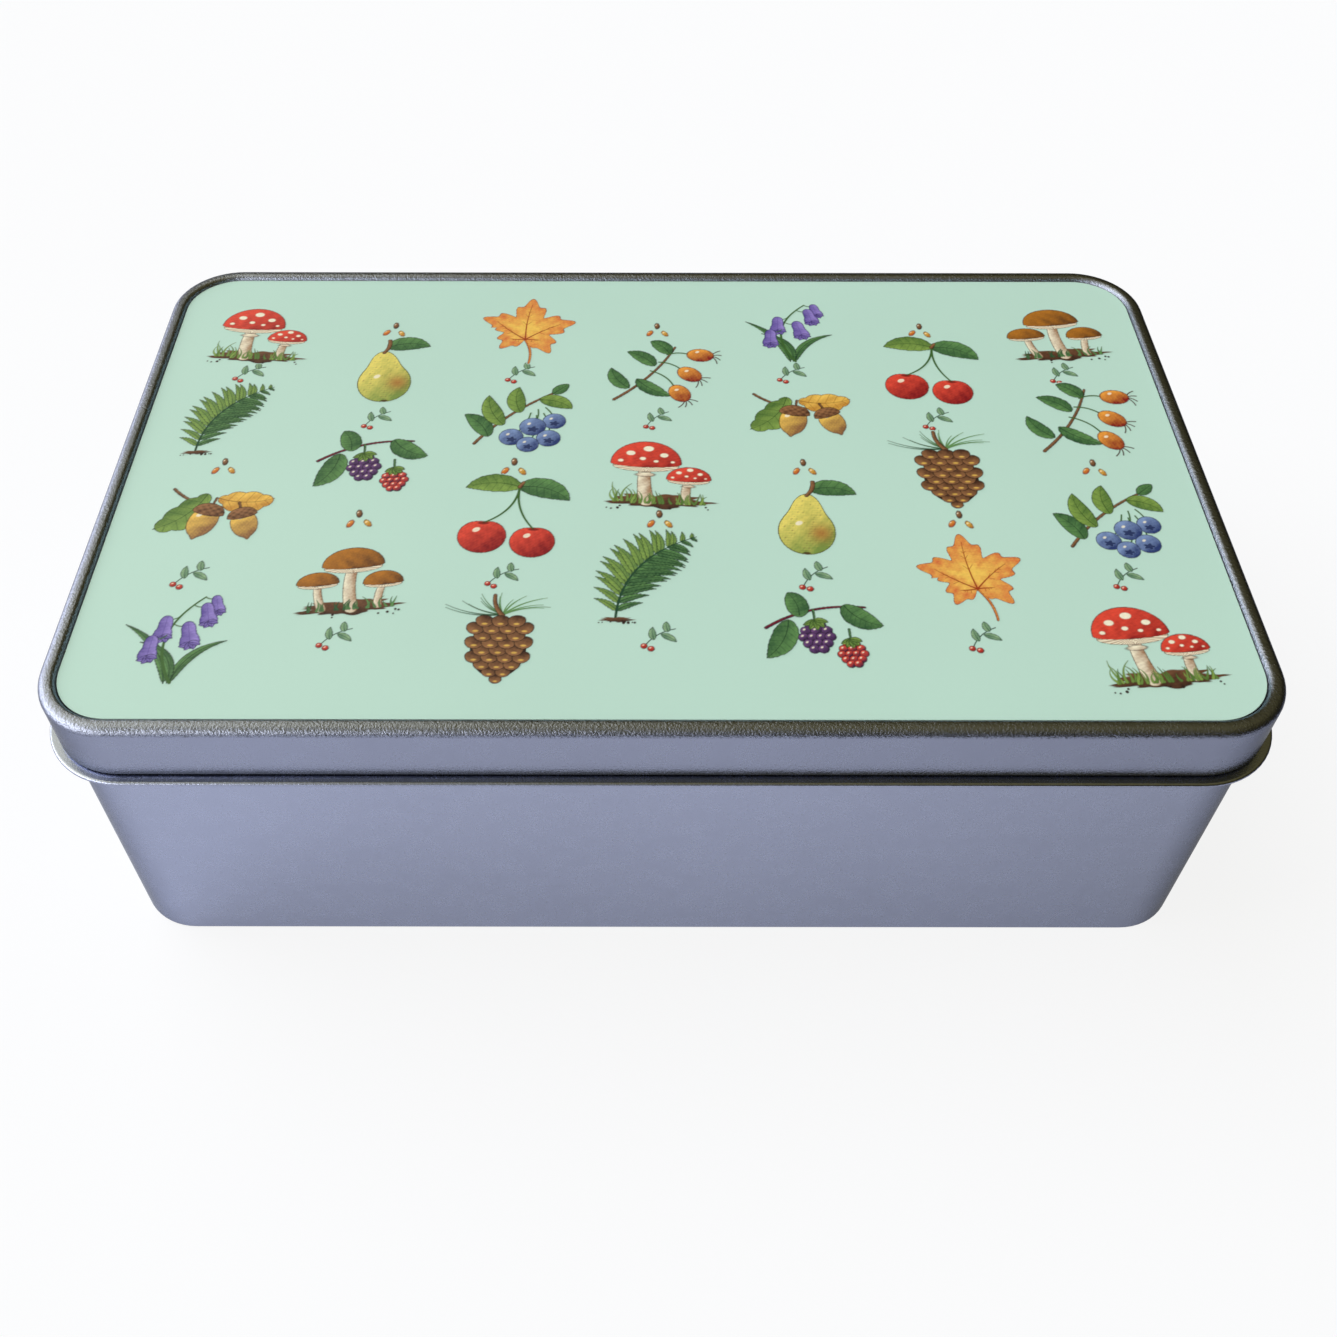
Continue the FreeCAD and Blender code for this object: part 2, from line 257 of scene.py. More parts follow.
class Field:
    """A node's output. Arithmetic on it adds Math nodes, and the second value may be a number or a field."""

    def __init__(self, finish, socket):
        self.finish = finish
        self.socket = socket

    def math(self, operation, *values, clamp=False):
        settings = {"operation": operation, "use_clamp": clamp}
        return self.finish.node("ShaderNodeMath", settings, dict(enumerate(values)))

    def __add__(self, other):
        return self.math("ADD", self, other)

    def __sub__(self, other):
        return self.math("SUBTRACT", self, other)

    def __rsub__(self, other):
        return self.math("SUBTRACT", other, self)

    def __mul__(self, other):
        return self.math("MULTIPLY", self, other)

    def clamped(self):
        return self.math("ADD", self, 0.0, clamp=True)

    __radd__ = __add__
    __rmul__ = __mul__


class Finish:
    """A node material, or the room's light. Every node comes from node(): its type, settings and sockets."""

    def __init__(self, name, kind=bpy.data.materials):
        self.made = kind.new(name)
        self.made.use_nodes = True
        self.tree = self.made.node_tree
        self.tree.nodes.clear()

    def node(self, kind, settings=None, inputs=None, output=0):
        made = self.tree.nodes.new(kind)
        for key, value in (settings or {}).items():
            setattr(made, key, value)
        for key, value in (inputs or {}).items():
            if isinstance(value, Field):
                self.tree.links.new(value.socket, made.inputs[key])
            else:
                made.inputs[key].default_value = value
        return Field(self, made.outputs[output]) if len(made.outputs) else made

    def position(self):
        return self.node("ShaderNodeTexCoord", output="Object")

    def noise(self, size, detail=2.0, roughness=0.5, where=None):
        """Smooth noise, 0 to 1, whose blotches are about size millimetres."""
        inputs = {"Vector": where or self.position(), "Scale": 1 / (size * MM)}
        inputs |= {"Detail": detail, "Roughness": roughness}
        return self.node("ShaderNodeTexNoise", None, inputs)

    def parts(self, vector):
        """A vector's three parts."""
        return [self.node("ShaderNodeSeparateXYZ", None, {0: vector}, output=axis) for axis in "XYZ"]

    def ray(self, kind):
        """1 for rays of a kind, such as Camera, and 0 for others."""
        return self.node("ShaderNodeLightPath", output=f"Is {kind} Ray")

    def value(self, name):
        return self.node("ShaderNodeAttribute", {"attribute_name": name}, output="Fac")

    def mix(self, share, first, second, blend="MIX"):
        """A mix of two colours."""
        settings = {"data_type": "RGBA", "blend_type": blend, "clamp_factor": True}
        return self.node("ShaderNodeMix", settings, {0: share, 6: first, 7: second}, output=2)

    def bump(self, height, strength, depth, under=None):
        """A normal bent by a height, with its depth in millimetres."""
        inputs = {"Height": height, "Strength": strength, "Distance": depth * MM}
        if under is not None:
            inputs["Normal"] = under
        return self.node("ShaderNodeBump", None, inputs)

    def shade(self, **sockets):
        """The material's surface, with socket names in lower case joined by underscores."""
        titles = [name.replace("_", " ").title().replace("Ior", "IOR") for name in sockets]
        surface = self.node("ShaderNodeBsdfPrincipled", None, dict(zip(titles, sockets.values())))
        self.node("ShaderNodeOutputMaterial", None, {"Surface": surface})
        return self.made


def linear(red, green, blue):
    """A colour in linear light from its 8-bit values."""
    shares = np.array([red, green, blue]) / 255
    return np.where(shares <= 0.04045, shares / 12.92, ((shares + 0.055) / 1.055) ** 2.4)


def rgba(colour):
    return (*map(float, colour), 1.0)


# Tinplate: the sizes of its grain, tarnish, waves, rubbed places and scuffs, in mm, the depths of grain and
# waves, in mm, the share of the grain's depth on flat sheet, and how much of its usual brightness it keeps
# at a grazing view, 82 degrees from straight on.
GRAIN, TARNISH, WAVE, RUBBED, SCUFF = 0.4, 4.0, 45.0, 1.2, 0.9
GRAIN_DEPTH, WAVE_DEPTH = 0.15, 1.0
FLAT_GRAIN = 0.3
EDGE_SHARE = 0.42


def tinplate(name, tone, roughness):
    """Satin tinplate: a fine grain, deepest on the rim, clouds of tarnish, scuffs and smoother crests."""
    finish = Finish(name)
    grain = finish.noise(GRAIN, detail=3.0, roughness=0.6)
    cloud = finish.noise(TARNISH, detail=4.0)
    wave = finish.noise(WAVE)
    wear = finish.value("wear") * finish.noise(RUBBED, detail=3.0)
    lengthwise = {"Vector": finish.position(), "Scale": (0.06, 1.0, 1.0)}
    stretched = finish.node("ShaderNodeMapping", None, lengthwise)
    scuff = (finish.noise(SCUFF, where=stretched) * 8.0 - 5.6).clamped()
    dark, light, bared = tone * 0.86, np.minimum(tone * 1.12, 1), np.minimum(tone * 1.3, 0.95)
    colour = finish.mix(cloud * 0.5 + wave * 0.35 + grain * 0.25 - 0.1, rgba(dark), rgba(light))
    colour = finish.mix(wear * 0.55, colour, rgba(bared))
    rough = roughness + (cloud - 0.5) * 0.12 + (grain - 0.5) * 0.14 - wear * 0.08 + scuff * 0.06
    relief = grain * (FLAT_GRAIN + (1 - FLAT_GRAIN) * finish.value("pressed"))
    normal = finish.bump(relief, 1.0, GRAIN_DEPTH, finish.bump(wave, 0.25, WAVE_DEPTH))
    edge = rgba((EDGE_SHARE,) * 3)
    return finish.shade(base_color=colour, metallic=1.0, roughness=rough, specular_tint=edge, normal=normal)


# The printed plate: its ground's colour, and how strongly ground and ink mirror at a straight view.
GROUND = linear(190, 224, 212)
PRINT_SPECULAR = 0.3


def ground_colour(finish):
    """The plate's ground: pale green with a faint unevenness."""
    uneven = finish.noise(60.0) * 0.8 + finish.noise(0.5) * 0.2
    return finish.mix(uneven, rgba(GROUND * 0.955), rgba(np.minimum(GROUND * 1.04, 1)))


def print_finish(finish, colour):
    """The satin surface that the plate's ground and its ink share."""
    fine = finish.noise(0.35)
    wave = finish.noise(70.0, detail=1.0)
    normal = finish.bump(fine, 0.06, 0.03, finish.bump(wave, 0.15, 0.8))
    rough = 0.5 + (fine - 0.5) * 0.12
    return finish.shade(base_color=colour, specular_ior_level=PRINT_SPECULAR, roughness=rough, normal=normal)


def printed_ground():
    finish = Finish("printed_ground")
    return print_finish(finish, ground_colour(finish))


def printed_ink():
    """Ink on the plate: each point's own tone, uneven as a wash is, over the ground by how far it covers."""
    finish = Finish("printed_ink")
    tone = finish.node("ShaderNodeAttribute", {"attribute_name": "ink_tone"}, output="Color")
    bloom = finish.noise(0.7, detail=3.0)
    tone = finish.mix(0.5, tone, finish.mix(bloom, rgba((0.72,) * 3), rgba((1.28,) * 3)), "MULTIPLY")
    return print_finish(finish, finish.mix(finish.value("ink_cover"), ground_colour(finish), tone))


def plate_edge():
    """The cut edge and the bare underside of the aluminium plate."""
    finish = Finish("plate_edge")
    grain = finish.noise(0.4, detail=3.0)
    colour = finish.mix(grain, rgba((0.62, 0.64, 0.64)), rgba((0.8, 0.81, 0.81)))
    return finish.shade(base_color=colour, metallic=1.0, roughness=0.38 + (grain - 0.5) * 0.16)


def adhesive_film():
    finish = Finish("adhesive_film")
    streak = finish.noise(3.0, detail=3.0)
    colour = finish.mix(streak, rgba((0.72, 0.71, 0.66)), rgba((0.82, 0.82, 0.78)))
    return finish.shade(base_color=colour, roughness=0.6 + (streak - 0.5) * 0.2)


# The sections' middle lines, from the same sizes as the solids.
half = SHEET / 2
wall_fold = FOLD + half - SEAM_WIDTH + 1j * (half + FOLD)
base_fold = -SHEET - SEAM_GAP - half - FOLD + 1j * (half + 2 * FOLD)
foot = -half - FOOT + 1j * (half + FOOT)
flange_z = half + 3 * FOLD
bead = BEAD_REACH - BEAD - half + 1j * (lid_low[2] - SEAT_GAP - BEAD - half)
root = BEAD_ROOT - half + 1j * (BEAD + BEAD_ROOT)
curl = -CURL - half + 1j * (wall_high[2] - CURL - half)
# The lock seam's ends stop short of the flange, the bead and the curl, and each end slopes over a short ramp.
FLANGE_CLEAR, BEAD_CLEAR, CURL_CLEAR = 0.7, 1.55, 2.4
SEAM_LOW, SEAM_HIGH = flange_z + FLANGE_CLEAR, bead.imag - BEAD_CLEAR
NECK_SEAM_LOW, NECK_SEAM_HIGH = bead.imag + BEAD_CLEAR, wall_high[2] - CURL_CLEAR
RAMP = 0.06
stations = [z + side for z in (SEAM_LOW, SEAM_HIGH, NECK_SEAM_LOW, NECK_SEAM_HIGH) for side in (-RAMP, RAMP)]
wall_section = folded(*belt(
    (wall_fold, FOLD, 90, 270),
    (foot, FOOT, -90, 0),
    (root.conjugate() + 1j * bead.imag, BEAD_ROOT, 180, 90),
    (bead, BEAD, -90, 90),
    (root + 1j * bead.imag, BEAD_ROOT, -90, -180),
    (curl, CURL, 0, 270),
    start=base_fold.real + 1j * (wall_fold.imag + FOLD),
    stations=stations,
))


def lock_seamed(points):
    """The wall with its lock seam at the middle of the back: two more sheets inside, a fold line outside.

    Inside points within the seam's width move inwards by its depth. Outside points near its edge move inwards
    by a V, depth * (1 - distance / half width).
    """
    x, y, z = np.moveaxis(points, -1, 0)
    inner_face = wall_high[1] - BEAD_REACH - SHEET / 2
    back = y > FLAT_Y + CORNER / 2
    upright = ((z > SEAM_LOW) & (z < SEAM_HIGH)) | ((z > NECK_SEAM_LOW) & (z < NECK_SEAM_HIGH))
    inside = back & upright & (y < inner_face) & (abs(x) < LOCK_SEAM / 2 + FOLD_LINE / 4)
    vee = np.clip(1 - abs(x - LOCK_SEAM / 2) / FOLD_LINE, 0, 1)
    outside = back & (z > SEAM_LOW) & (z < SEAM_HIGH) & (y >= inner_face)
    moved = y - LOCK_SEAM_DEPTH * inside - FOLD_LINE_DEPTH * vee * outside
    return np.stack([x, moved, z], axis=-1)


step_low = -BASE_BORDER + 1j * (flange_z + BASE_STEP)
step_lift = 2 * BASE_STEP - BASE_RISE
step_run = math.sqrt((2 * BASE_STEP) ** 2 - step_lift ** 2)
step_turn = math.degrees(math.atan2(step_lift, step_run))
step_high = step_low - step_run - 1j * step_lift
base_panel = -BASE_BORDER - 4 * BASE_STEP + 1j * (flange_z + BASE_RISE)
base_section = folded(*belt(
    (step_high, BASE_STEP, 90, step_turn),
    (step_low, BASE_STEP, 180 + step_turn, 270),
    (base_fold, FOLD, 90, -90),
    start=base_panel,
    end=wall_fold.real + 1j * (base_fold.imag - FOLD),
), panel=True)

hem = LID_CLEARANCE + half + HEM + 1j * (lid_low[2] + half + HEM)
skirt = hem.real + HEM
crown_way = spoke(90 - CROWN_TURN)
crown_radius = (RIM_FLAT / crown_way.real + RIM_EDGE + RIM_SHOULDER) / 2
crown_x = skirt - RIM_EDGE - (crown_radius - RIM_EDGE) * crown_way.real
rim_crown = crown_x + 1j * (lid_high[2] - half - crown_radius)
rim_edge = rim_crown + (crown_radius - RIM_EDGE) * crown_way
rim_shoulder = rim_crown - (crown_radius - RIM_SHOULDER) * crown_way.conjugate()
panel_z = glue_low[2] - half
plate_reach = plate_high[0] - FLAT_X - CORNER
rim_cove = plate_reach + PLATE_GAP + half - RIM_COVE + 1j * (panel_z + RIM_COVE)
rise, grip = rim_shoulder - rim_cove, RIM_SHOULDER + RIM_COVE
slope = math.degrees(np.angle(rise) + math.asin(grip / abs(rise)))
lid_panel = glue_high[0] - FLAT_X - CORNER + 1j * panel_z
lid_section = folded(*belt(
    (rim_cove, RIM_COVE, -90, slope - 90),
    (rim_shoulder, RIM_SHOULDER, slope + 90, 90 + CROWN_TURN),
    (rim_crown, crown_radius, 90 + CROWN_TURN, 90 - CROWN_TURN),
    (rim_edge, RIM_EDGE, 90 - CROWN_TURN, 0),
    (hem, HEM, 0, -180),
    start=lid_panel,
    end=hem.real - HEM + 1j * (lid_low[2] + HEM_HEIGHT - half),
), panel=True)

# The plate's section, with eased edges. The ground covers its first quads, over most of the upper edge.
PLATE_BEVEL = 0.1
PRINTED_QUADS = 4
eased = PLATE_BEVEL * spoke(np.linspace(90, 0, 6))
plate_corner = plate_reach - PLATE_BEVEL + 1j * (plate_high[2] - PLATE_BEVEL)
plate_foot = plate_reach - PLATE_BEVEL + 1j * (plate_low[2] + PLATE_BEVEL)
edge_line = np.concatenate([plate_corner + eased, plate_foot + eased[::-1].conj()])
plate_section = np.concatenate([[edge_line[0] - HOLD], edge_line, [edge_line[-1] - HOLD]])

TIN = np.array([0.403, 0.435, 0.592])
# The lid's tinplate is the body's, made a fifth darker.
LID_TIN = TIN * 0.8
TIN_ROUGHNESS = 0.26
body_tin = tinplate("satin_tinplate", TIN, TIN_ROUGHNESS)
wall_skin = make_skin("wall_skin", wall_section, True, body_tin, lock_seamed)
base_skin = make_skin("base_skin", base_section, False, body_tin)
lid_tin = tinplate("lid_tinplate", LID_TIN, TIN_ROUGHNESS)
lid_skin = make_skin("lid_skin", lid_section, False, lid_tin)

plate_points = carried(plate_section)
stops, width = plate_points.shape[:2]
plate_faces = [grid_faces(stops, width, ring_rows=True)] + panel_faces(stops, width)
bare = np.tile(np.arange(width - 1) >= PRINTED_QUADS, stops)
bare = np.concatenate([bare, [False, True]]).astype(np.int32)
plate_finishes = [printed_ground(), plate_edge()]
printed_plate = make_piece(
    "printed_plate", plate_points.reshape(-1, 3), plate_faces, plate_finishes, face_materials=bare
)

for piece, body, slot, node in (
    (wall_skin, "tin_body", "tinplate", "body_wall"),
    (base_skin, "tin_body", "tinplate", "base_plate"),
    (lid_skin, "lid", "tinplate", "lid_shell"),
    (printed_plate, "lid", "printed_plate", "insert_plate"),
):
    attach(piece, body)
    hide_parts(node)

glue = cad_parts["adhesive_sheet"]
glue.data.materials.clear()
glue.data.materials.append(adhesive_film())

# The plate's print: a half-drop repeat of woodland motifs in ink and wash. Each is painted once on a fine
# grid of points, in millimetres, and laid on the plate several times. Tones come in pairs, light and dark.
INK_STEP = 0.13
INK_EDGE = 0.15
INK_LINE = 0.075
BLOTCH, FLECK = 2.6, 0.7
WAVES = 9
BOW_POINTS = 18
LAMP = spoke(125)
CREAM = linear(244, 236, 212)
MOSS = (linear(134, 164, 78), linear(58, 96, 44))
FOREST = (linear(96, 142, 82), linear(26, 66, 44))
SAGE = (linear(150, 182, 140), linear(70, 116, 92))
SCARLET = (linear(226, 74, 56), linear(128, 18, 26))
RUST = (linear(236, 158, 66), linear(170, 62, 26))
AMBER = (linear(240, 196, 92), linear(176, 112, 36))
BARK = (linear(150, 104, 68), linear(66, 38, 26))
EARTH = (linear(118, 78, 54), linear(44, 26, 22))
PLUM = (linear(112, 72, 128), linear(40, 22, 58))
VIOLET = (linear(150, 132, 206), linear(72, 54, 140))
SLATE = (linear(126, 150, 196), linear(40, 56, 110))
LEMON = (linear(232, 216, 112), linear(158, 150, 50))


def wash(at, size, seed):
    """Soft blotches about -1 to 1: the mean of plane waves near one size, in directions drawn from a seed."""
    draw = np.random.default_rng(seed)
    ways = np.exp(1j * draw.uniform(0, 2 * np.pi, WAVES)) * draw.uniform(0.6, 1.5, WAVES) * 2 * np.pi / size
    phases = draw.uniform(0, 2 * np.pi, WAVES)
    return np.cos((at[..., None] * ways).real + phases).mean(-1) * 2


def bow(first, last, bulge=0.0, count=BOW_POINTS):
    """A parabola between two points, off their straight line by bulge times its length at the middle."""
    share = np.linspace(0, 1, count)
    return first + (last - first) * (share + 4j * bulge * share * (1 - share))


def between(tones, share):
    """Tones from light to dark by a share."""
    light, dark = tones
    return light + (dark - light) * np.clip(share, 0, 1)[..., None]


class Form:
    """A shape near part of a motif's grid: distance, negative inside, and its own two coordinates."""

    def __init__(self, window, distance, along, across):
        self.window, self.distance, self.along, self.across = window, distance, along, across

    def inside(self, margin=0.0):
        return np.clip(0.5 - (self.distance + margin) / INK_EDGE, 0, 1)


class Motif:
    """A painted motif: a grid of points, the ink's tone at each and how far the ink covers the ground."""

    def __init__(self, width, height, seed):
        self.x = np.arange(-width / 2, width / 2, INK_STEP)
        self.y = np.arange(-height / 2, height / 2, INK_STEP)
        self.at = self.x[None, :] + 1j * self.y[:, None]
        self.tone = np.zeros((*self.at.shape, 3))
        self.cover = np.zeros(self.at.shape)
        self.blotch = wash(self.at, BLOTCH, seed)
        self.fleck = wash(self.at, FLECK, seed + 1)
        self.draw = np.random.default_rng(seed)

    def window(self, points, margin):
        """The part of the grid within a margin of some points."""
        rows = np.searchsorted(self.y, [points.imag.min() - margin, points.imag.max() + margin])
        columns = np.searchsorted(self.x, [points.real.min() - margin, points.real.max() + margin])
        return slice(*rows), slice(*columns)

    def limb(self, spine, widths):
        """A tapering stroke: distance to the nearest leg of its spine, less the half width there.

        The half widths given are spread evenly along the spine. Along goes from 0 to 1, and across from -1 at
        the right edge to 1 at the left.
        """
        given = np.atleast_1d(widths)
        widths = np.interp(np.linspace(0, 1, len(spine)), np.linspace(0, 1, len(given)), given)
        window = self.window(spine, widths.max() + 4 * INK_LINE)
        legs = np.diff(spine)
        offset = self.at[window][..., None] - spine[:-1]
        share = np.clip((offset * legs.conj()).real / abs(legs) ** 2, 0, 1)
        half_width = widths[:-1] + share * np.diff(widths)
        gap = abs(offset - share * legs) - half_width
        best = gap.argmin(-1)[..., None]
        picked = [np.take_along_axis(field, best, -1)[..., 0] for field in (
            gap, share, (offset * legs.conj()).imag / abs(legs) / np.maximum(half_width, INK_STEP))]
        return Form(window, picked[0], (best[..., 0] + picked[1]) / len(legs), picked[2])

    def disc(self, centre, radius, flat=1.0, turn=0.0, outline=None):
        """A round shape: distance from its centre, less a radius that an outline may vary with the angle.

        Along is the angle in its own axes, and across the complex place in it, 1 at the edge.
        """
        window = self.window(np.array([centre]), radius * 1.9 + 4 * INK_LINE)
        spot = (self.at[window] - centre) * spoke(-turn)
        spot = spot.real + 1j * spot.imag / flat
        angle = np.angle(spot)
        reach = radius if outline is None else radius * outline(angle)
        return Form(window, (abs(spot) - reach) * min(1, flat), angle, spot / reach)

    def lay(self, form, mask, tone):
        """Ink over ink: the new tone by its mask, the old one by what shows of its cover beside it."""
        under = self.cover[form.window] * (1 - mask)
        total = mask + under
        share = (mask / np.maximum(total, 1e-6))[..., None]
        self.tone[form.window] = share * tone + (1 - share) * self.tone[form.window]
        self.cover[form.window] = total

    def fill(self, form, tone, strength=1.0):
        self.lay(form, form.inside() * strength, tone)

    def outline(self, form, tone, strength=0.85, line=INK_LINE):
        """A pen line along a form's edge, heavier and lighter by turns."""
        weight = line * (1 + 0.5 * self.fleck[form.window])
        self.lay(form, strength * np.clip(0.5 - (abs(form.distance) - weight) / INK_EDGE, 0, 1), tone)

    def stroke(self, spine, width, tone, strength=1.0):
        self.fill(self.limb(spine, width), tone, strength)

    def shaded(self, form, tones, share):
        """A wash over a form: light to dark by a share, blotched."""
        uneven = 0.16 * self.blotch[form.window] + 0.1 * self.fleck[form.window]
        self.fill(form, between(tones, share + uneven))

    def leaf(self, base, tip, breadth, tones, bulge=0.08, lobes=0, teeth=0, veins=6, fullness=0.8):
        """A leaf: half width breadth * sin(pi * share ** fullness), waved by lobes or cut by teeth."""
        spine = bow(base, tip, bulge, 40 if lobes or teeth else 22)
        share = np.linspace(0, 1, len(spine))
        widths = breadth * np.sin(np.pi * share ** fullness) ** 0.85
        if lobes:
            widths = widths * (0.74 + 0.34 * np.cos(2 * np.pi * (lobes * share - 0.35)))
        if teeth:
            widths = widths * (1 - 0.22 * (teeth * share % 1))
        form = self.limb(spine, np.maximum(widths, 0.02))
        self.shaded(form, tones, 0.42 - 0.3 * form.across)
        reached = ((self.at[form.window] - base) / (tip - base)).real
        ribs = np.cos(2 * np.pi * (veins * reached - 0.8 * abs(form.across)))
        self.lay(form, form.inside(0.12) * np.clip(6 * ribs - 5, 0, 1) * 0.45, tones[1] * 0.75)
        self.stroke(spine, (0.11, 0.04), tones[1] * 0.55, 0.8)
        self.outline(form, tones[1] * 0.4)

    def stalk(self, first, last, width, tones, bulge=0.0, taper=0.7):
        form = self.limb(bow(first, last, bulge), (width, width * taper))
        self.shaded(form, tones, 0.45 - 0.4 * form.across)
        self.outline(form, tones[1] * 0.45, 0.8)

    def berry(self, centre, radius, tones, flat=1.0, turn=0.0, outline=None, glint=0.2):
        """A round fruit: darker away from the lamp, with a small glint towards it."""
        form = self.disc(centre, radius, flat, turn, outline)
        lit = (form.across * spoke(turn) * LAMP.conjugate()).real
        self.shaded(form, tones, 0.5 - 0.55 * lit)
        self.fill(self.disc(centre + 0.45 * radius * LAMP, glint * radius, 0.7, 35), CREAM, 0.85)
        self.outline(form, tones[1] * 0.4)

    def soil(self, centre, width, count=9):
        """A wash of ground with a broken edge and a few crumbs."""
        form = self.disc(centre, width, 0.2, 0, ragged)
        self.shaded(form, EARTH, 0.5 - 0.35 * form.across.imag)
        places = self.draw.uniform(-1.15, 1.15, count) - 1j * self.draw.uniform(0.12, 0.3, count)
        for place, size in zip(places, self.draw.uniform(0.12, 0.3, count)):
            self.fill(self.disc(centre + width * place, size), EARTH[1])

    def grass(self, first, last, height, count, tones=MOSS):
        """A tuft of blades between two points, each bent a little."""
        feet = first + (last - first) * self.draw.uniform(0, 1, count)
        leans = self.draw.uniform(-0.45, 0.45, count)
        bulges = self.draw.uniform(-0.2, 0.2, count)
        lengths = height * self.draw.uniform(0.5, 1.1, count)
        darks = self.draw.uniform(0, 0.9, count)
        for foot, lean, bulge, length, dark in zip(feet, leans, bulges, lengths, darks):
            blade = self.limb(bow(foot, foot + length * (lean + 1j), bulge, 9), (0.26, 0.03))
            self.fill(blade, between(tones, np.array(dark)))
            self.outline(blade, tones[1] * 0.5, 0.45, 0.03)


def ragged(angle):
    """An outline with a broken edge: 1 with three waves round it."""
    return 1 + 0.12 * np.cos(5 * angle + 1) + 0.1 * np.cos(9 * angle) + 0.06 * np.cos(17 * angle)


def bulged(amount, middle, spread):
    """An outline with one bulge: 1 + amount * exp(-((angle - middle) / spread) ** 2)."""
    return lambda angle: 1 + amount * np.exp(-((angle - middle) / spread) ** 2)


def dome(height, droop):
    """A cap's outline: half an ellipse above and a flatter half below, widest at 1."""
    def radius(angle):
        rise = np.where(np.sin(angle) > 0, height, droop)
        return 1 / np.hypot(np.cos(angle), np.sin(angle) / rise)
    return radius


def cap(motif, centre, width, height, tones):
    """A mushroom's cap over its gills, darker away from the lamp."""
    gills = motif.disc(centre - 0.1j * width, 0.93 * width, outline=dome(0.15, 0.26))
    motif.fill(gills, between((CREAM, BARK[0]), 0.35 + 0.35 * np.cos(46 * gills.along)))
    motif.outline(gills, EARTH[1], 0.7)
    form = motif.disc(centre, width, outline=dome(height, 0.16))
    lit = (form.across * LAMP.conjugate()).real
    motif.shaded(form, tones, 0.45 - 0.5 * lit)
    motif.outline(form, tones[1] * 0.4)


def toadstools():
    motif = Motif(24, 25, 11)
    motif.soil(0.3 - 8.7j, 8.4)
    motif.grass(-8 - 8.9j, -4 - 8.6j, 4.6, 10)
    spots = (
        (-0.45 + 0.42j, 0.13), (0.05 + 0.62j, 0.15), (0.5 + 0.36j, 0.12), (-0.1 + 0.2j, 0.09),
        (-0.72 + 0.1j, 0.08), (0.28 + 0.1j, 0.07), (0.75 + 0.08j, 0.06),
    )
    for foot, top, width in ((-1.9 - 8.6j, -2.4 + 0.6j, 1.35), (5.0 - 8.6j, 5.4 - 3.0j, 0.9)):
        motif.stalk(foot, top, width, (CREAM, BARK[0]), 0.04, 0.75)
        ring = motif.disc(top - 1.9j * width, 1.25 * width, 0.32)
        motif.shaded(ring, (CREAM, BARK[0]), 0.3 - 0.3 * ring.across.imag)
        motif.outline(ring, EARTH[1], 0.6)
    for centre, width, height in ((-2.4 + 1.0j, 6.4, 0.92), (5.4 - 2.9j, 4.0, 0.8)):
        cap(motif, centre, width, height, SCARLET)
        for spot, size in spots:
            dot = motif.disc(centre + spot * width, size * width, 0.75)
            motif.fill(dot, CREAM)
            motif.outline(dot, SCARLET[1], 0.5, 0.03)
    motif.grass(-5 - 9.2j, 8.6 - 9.2j, 2.8, 26)
    return motif


def acorns():
    motif = Motif(25, 23, 23)
    motif.stalk(-8.5 + 7.5j, 3.5 + 3.4j, 0.3, BARK, -0.12)
    motif.leaf(-2 + 6.6j, -9.6 - 3.2j, 3.1, MOSS, 0.12, lobes=4, fullness=0.95)
    motif.leaf(0.5 + 5.6j, 10.6 + 6.2j, 2.7, AMBER, -0.1, lobes=4, fullness=0.95)
    for top, turn, size in ((-0.2 + 4.4j, -100, 1.0), (4.9 + 3.6j, -68, 0.9)):
        way = spoke(turn)
        motif.stalk(top - 1.2 * way, top + 0.6 * way, 0.24, BARK)
        pointed = bulged(0.17, 0, 0.2)
        motif.berry(top + 5.0 * size * way, 4.1 * size, (AMBER[0], BARK[0] * 0.8), 0.66, turn, pointed, 0.14)
        cup = motif.disc(top + 2.7 * size * way, 3.05 * size, 1.0, turn + 90, dome(0.8, 0.26))
        lit = (cup.across * spoke(turn + 90) * LAMP.conjugate()).real
        scales = np.cos(11 * cup.across.real) * np.cos(13 * cup.across.imag)
        motif.shaded(cup, BARK, 0.5 - 0.4 * lit + 0.35 * scales)
        motif.outline(cup, EARTH[1] * 0.6)
    return motif


def brambles():
    motif = Motif(25, 25, 37)
    motif.stalk(-9.5 + 2.5j, 8.0 + 6.5j, 0.28, (SCARLET[1], PLUM[1]), 0.1)
    for base, tip, breadth, bulge in (
        (-5.5 + 4j, -10 - 4.2j, 2.3, 0.1), (-3.5 + 5.2j, -5 + 10.4j, 2.0, -0.1),
        (4.5 + 7j, 10.6 + 2.2j, 2.2, -0.12),
    ):
        motif.leaf(base, tip, breadth, FOREST, bulge, teeth=9, veins=8)
    rows = (
        (0, (-0.9, 0.9)), (1.2, (-1.9, 0, 1.9)), (2.7, (-2.4, -0.8, 0.8, 2.4)),
        (4.2, (-1.7, 0, 1.7)), (5.5, (-0.8, 0.8)),
    )
    for top, radius, tones in ((-1.0 + 3.6j, 0.95, PLUM), (4.6 - 1.0j, 0.78, (SCARLET[0], PLUM[1]))):
        motif.stalk(top + 2.6j, top, 0.2, FOREST)
        for drop, places in rows:
            for place in places:
                motif.berry(top + radius * (place - 1j * (drop + 1.0)), 1.02 * radius, tones, glint=0.26)
        for turn in (200, 235, 270, 305, 340):
            tip = top + 0.3j + 2.4 * radius * spoke(turn) * (1.0 + 0.1j)
            motif.leaf(top + 0.4j, tip, 0.55, MOSS, 0.05, veins=1)
    return motif


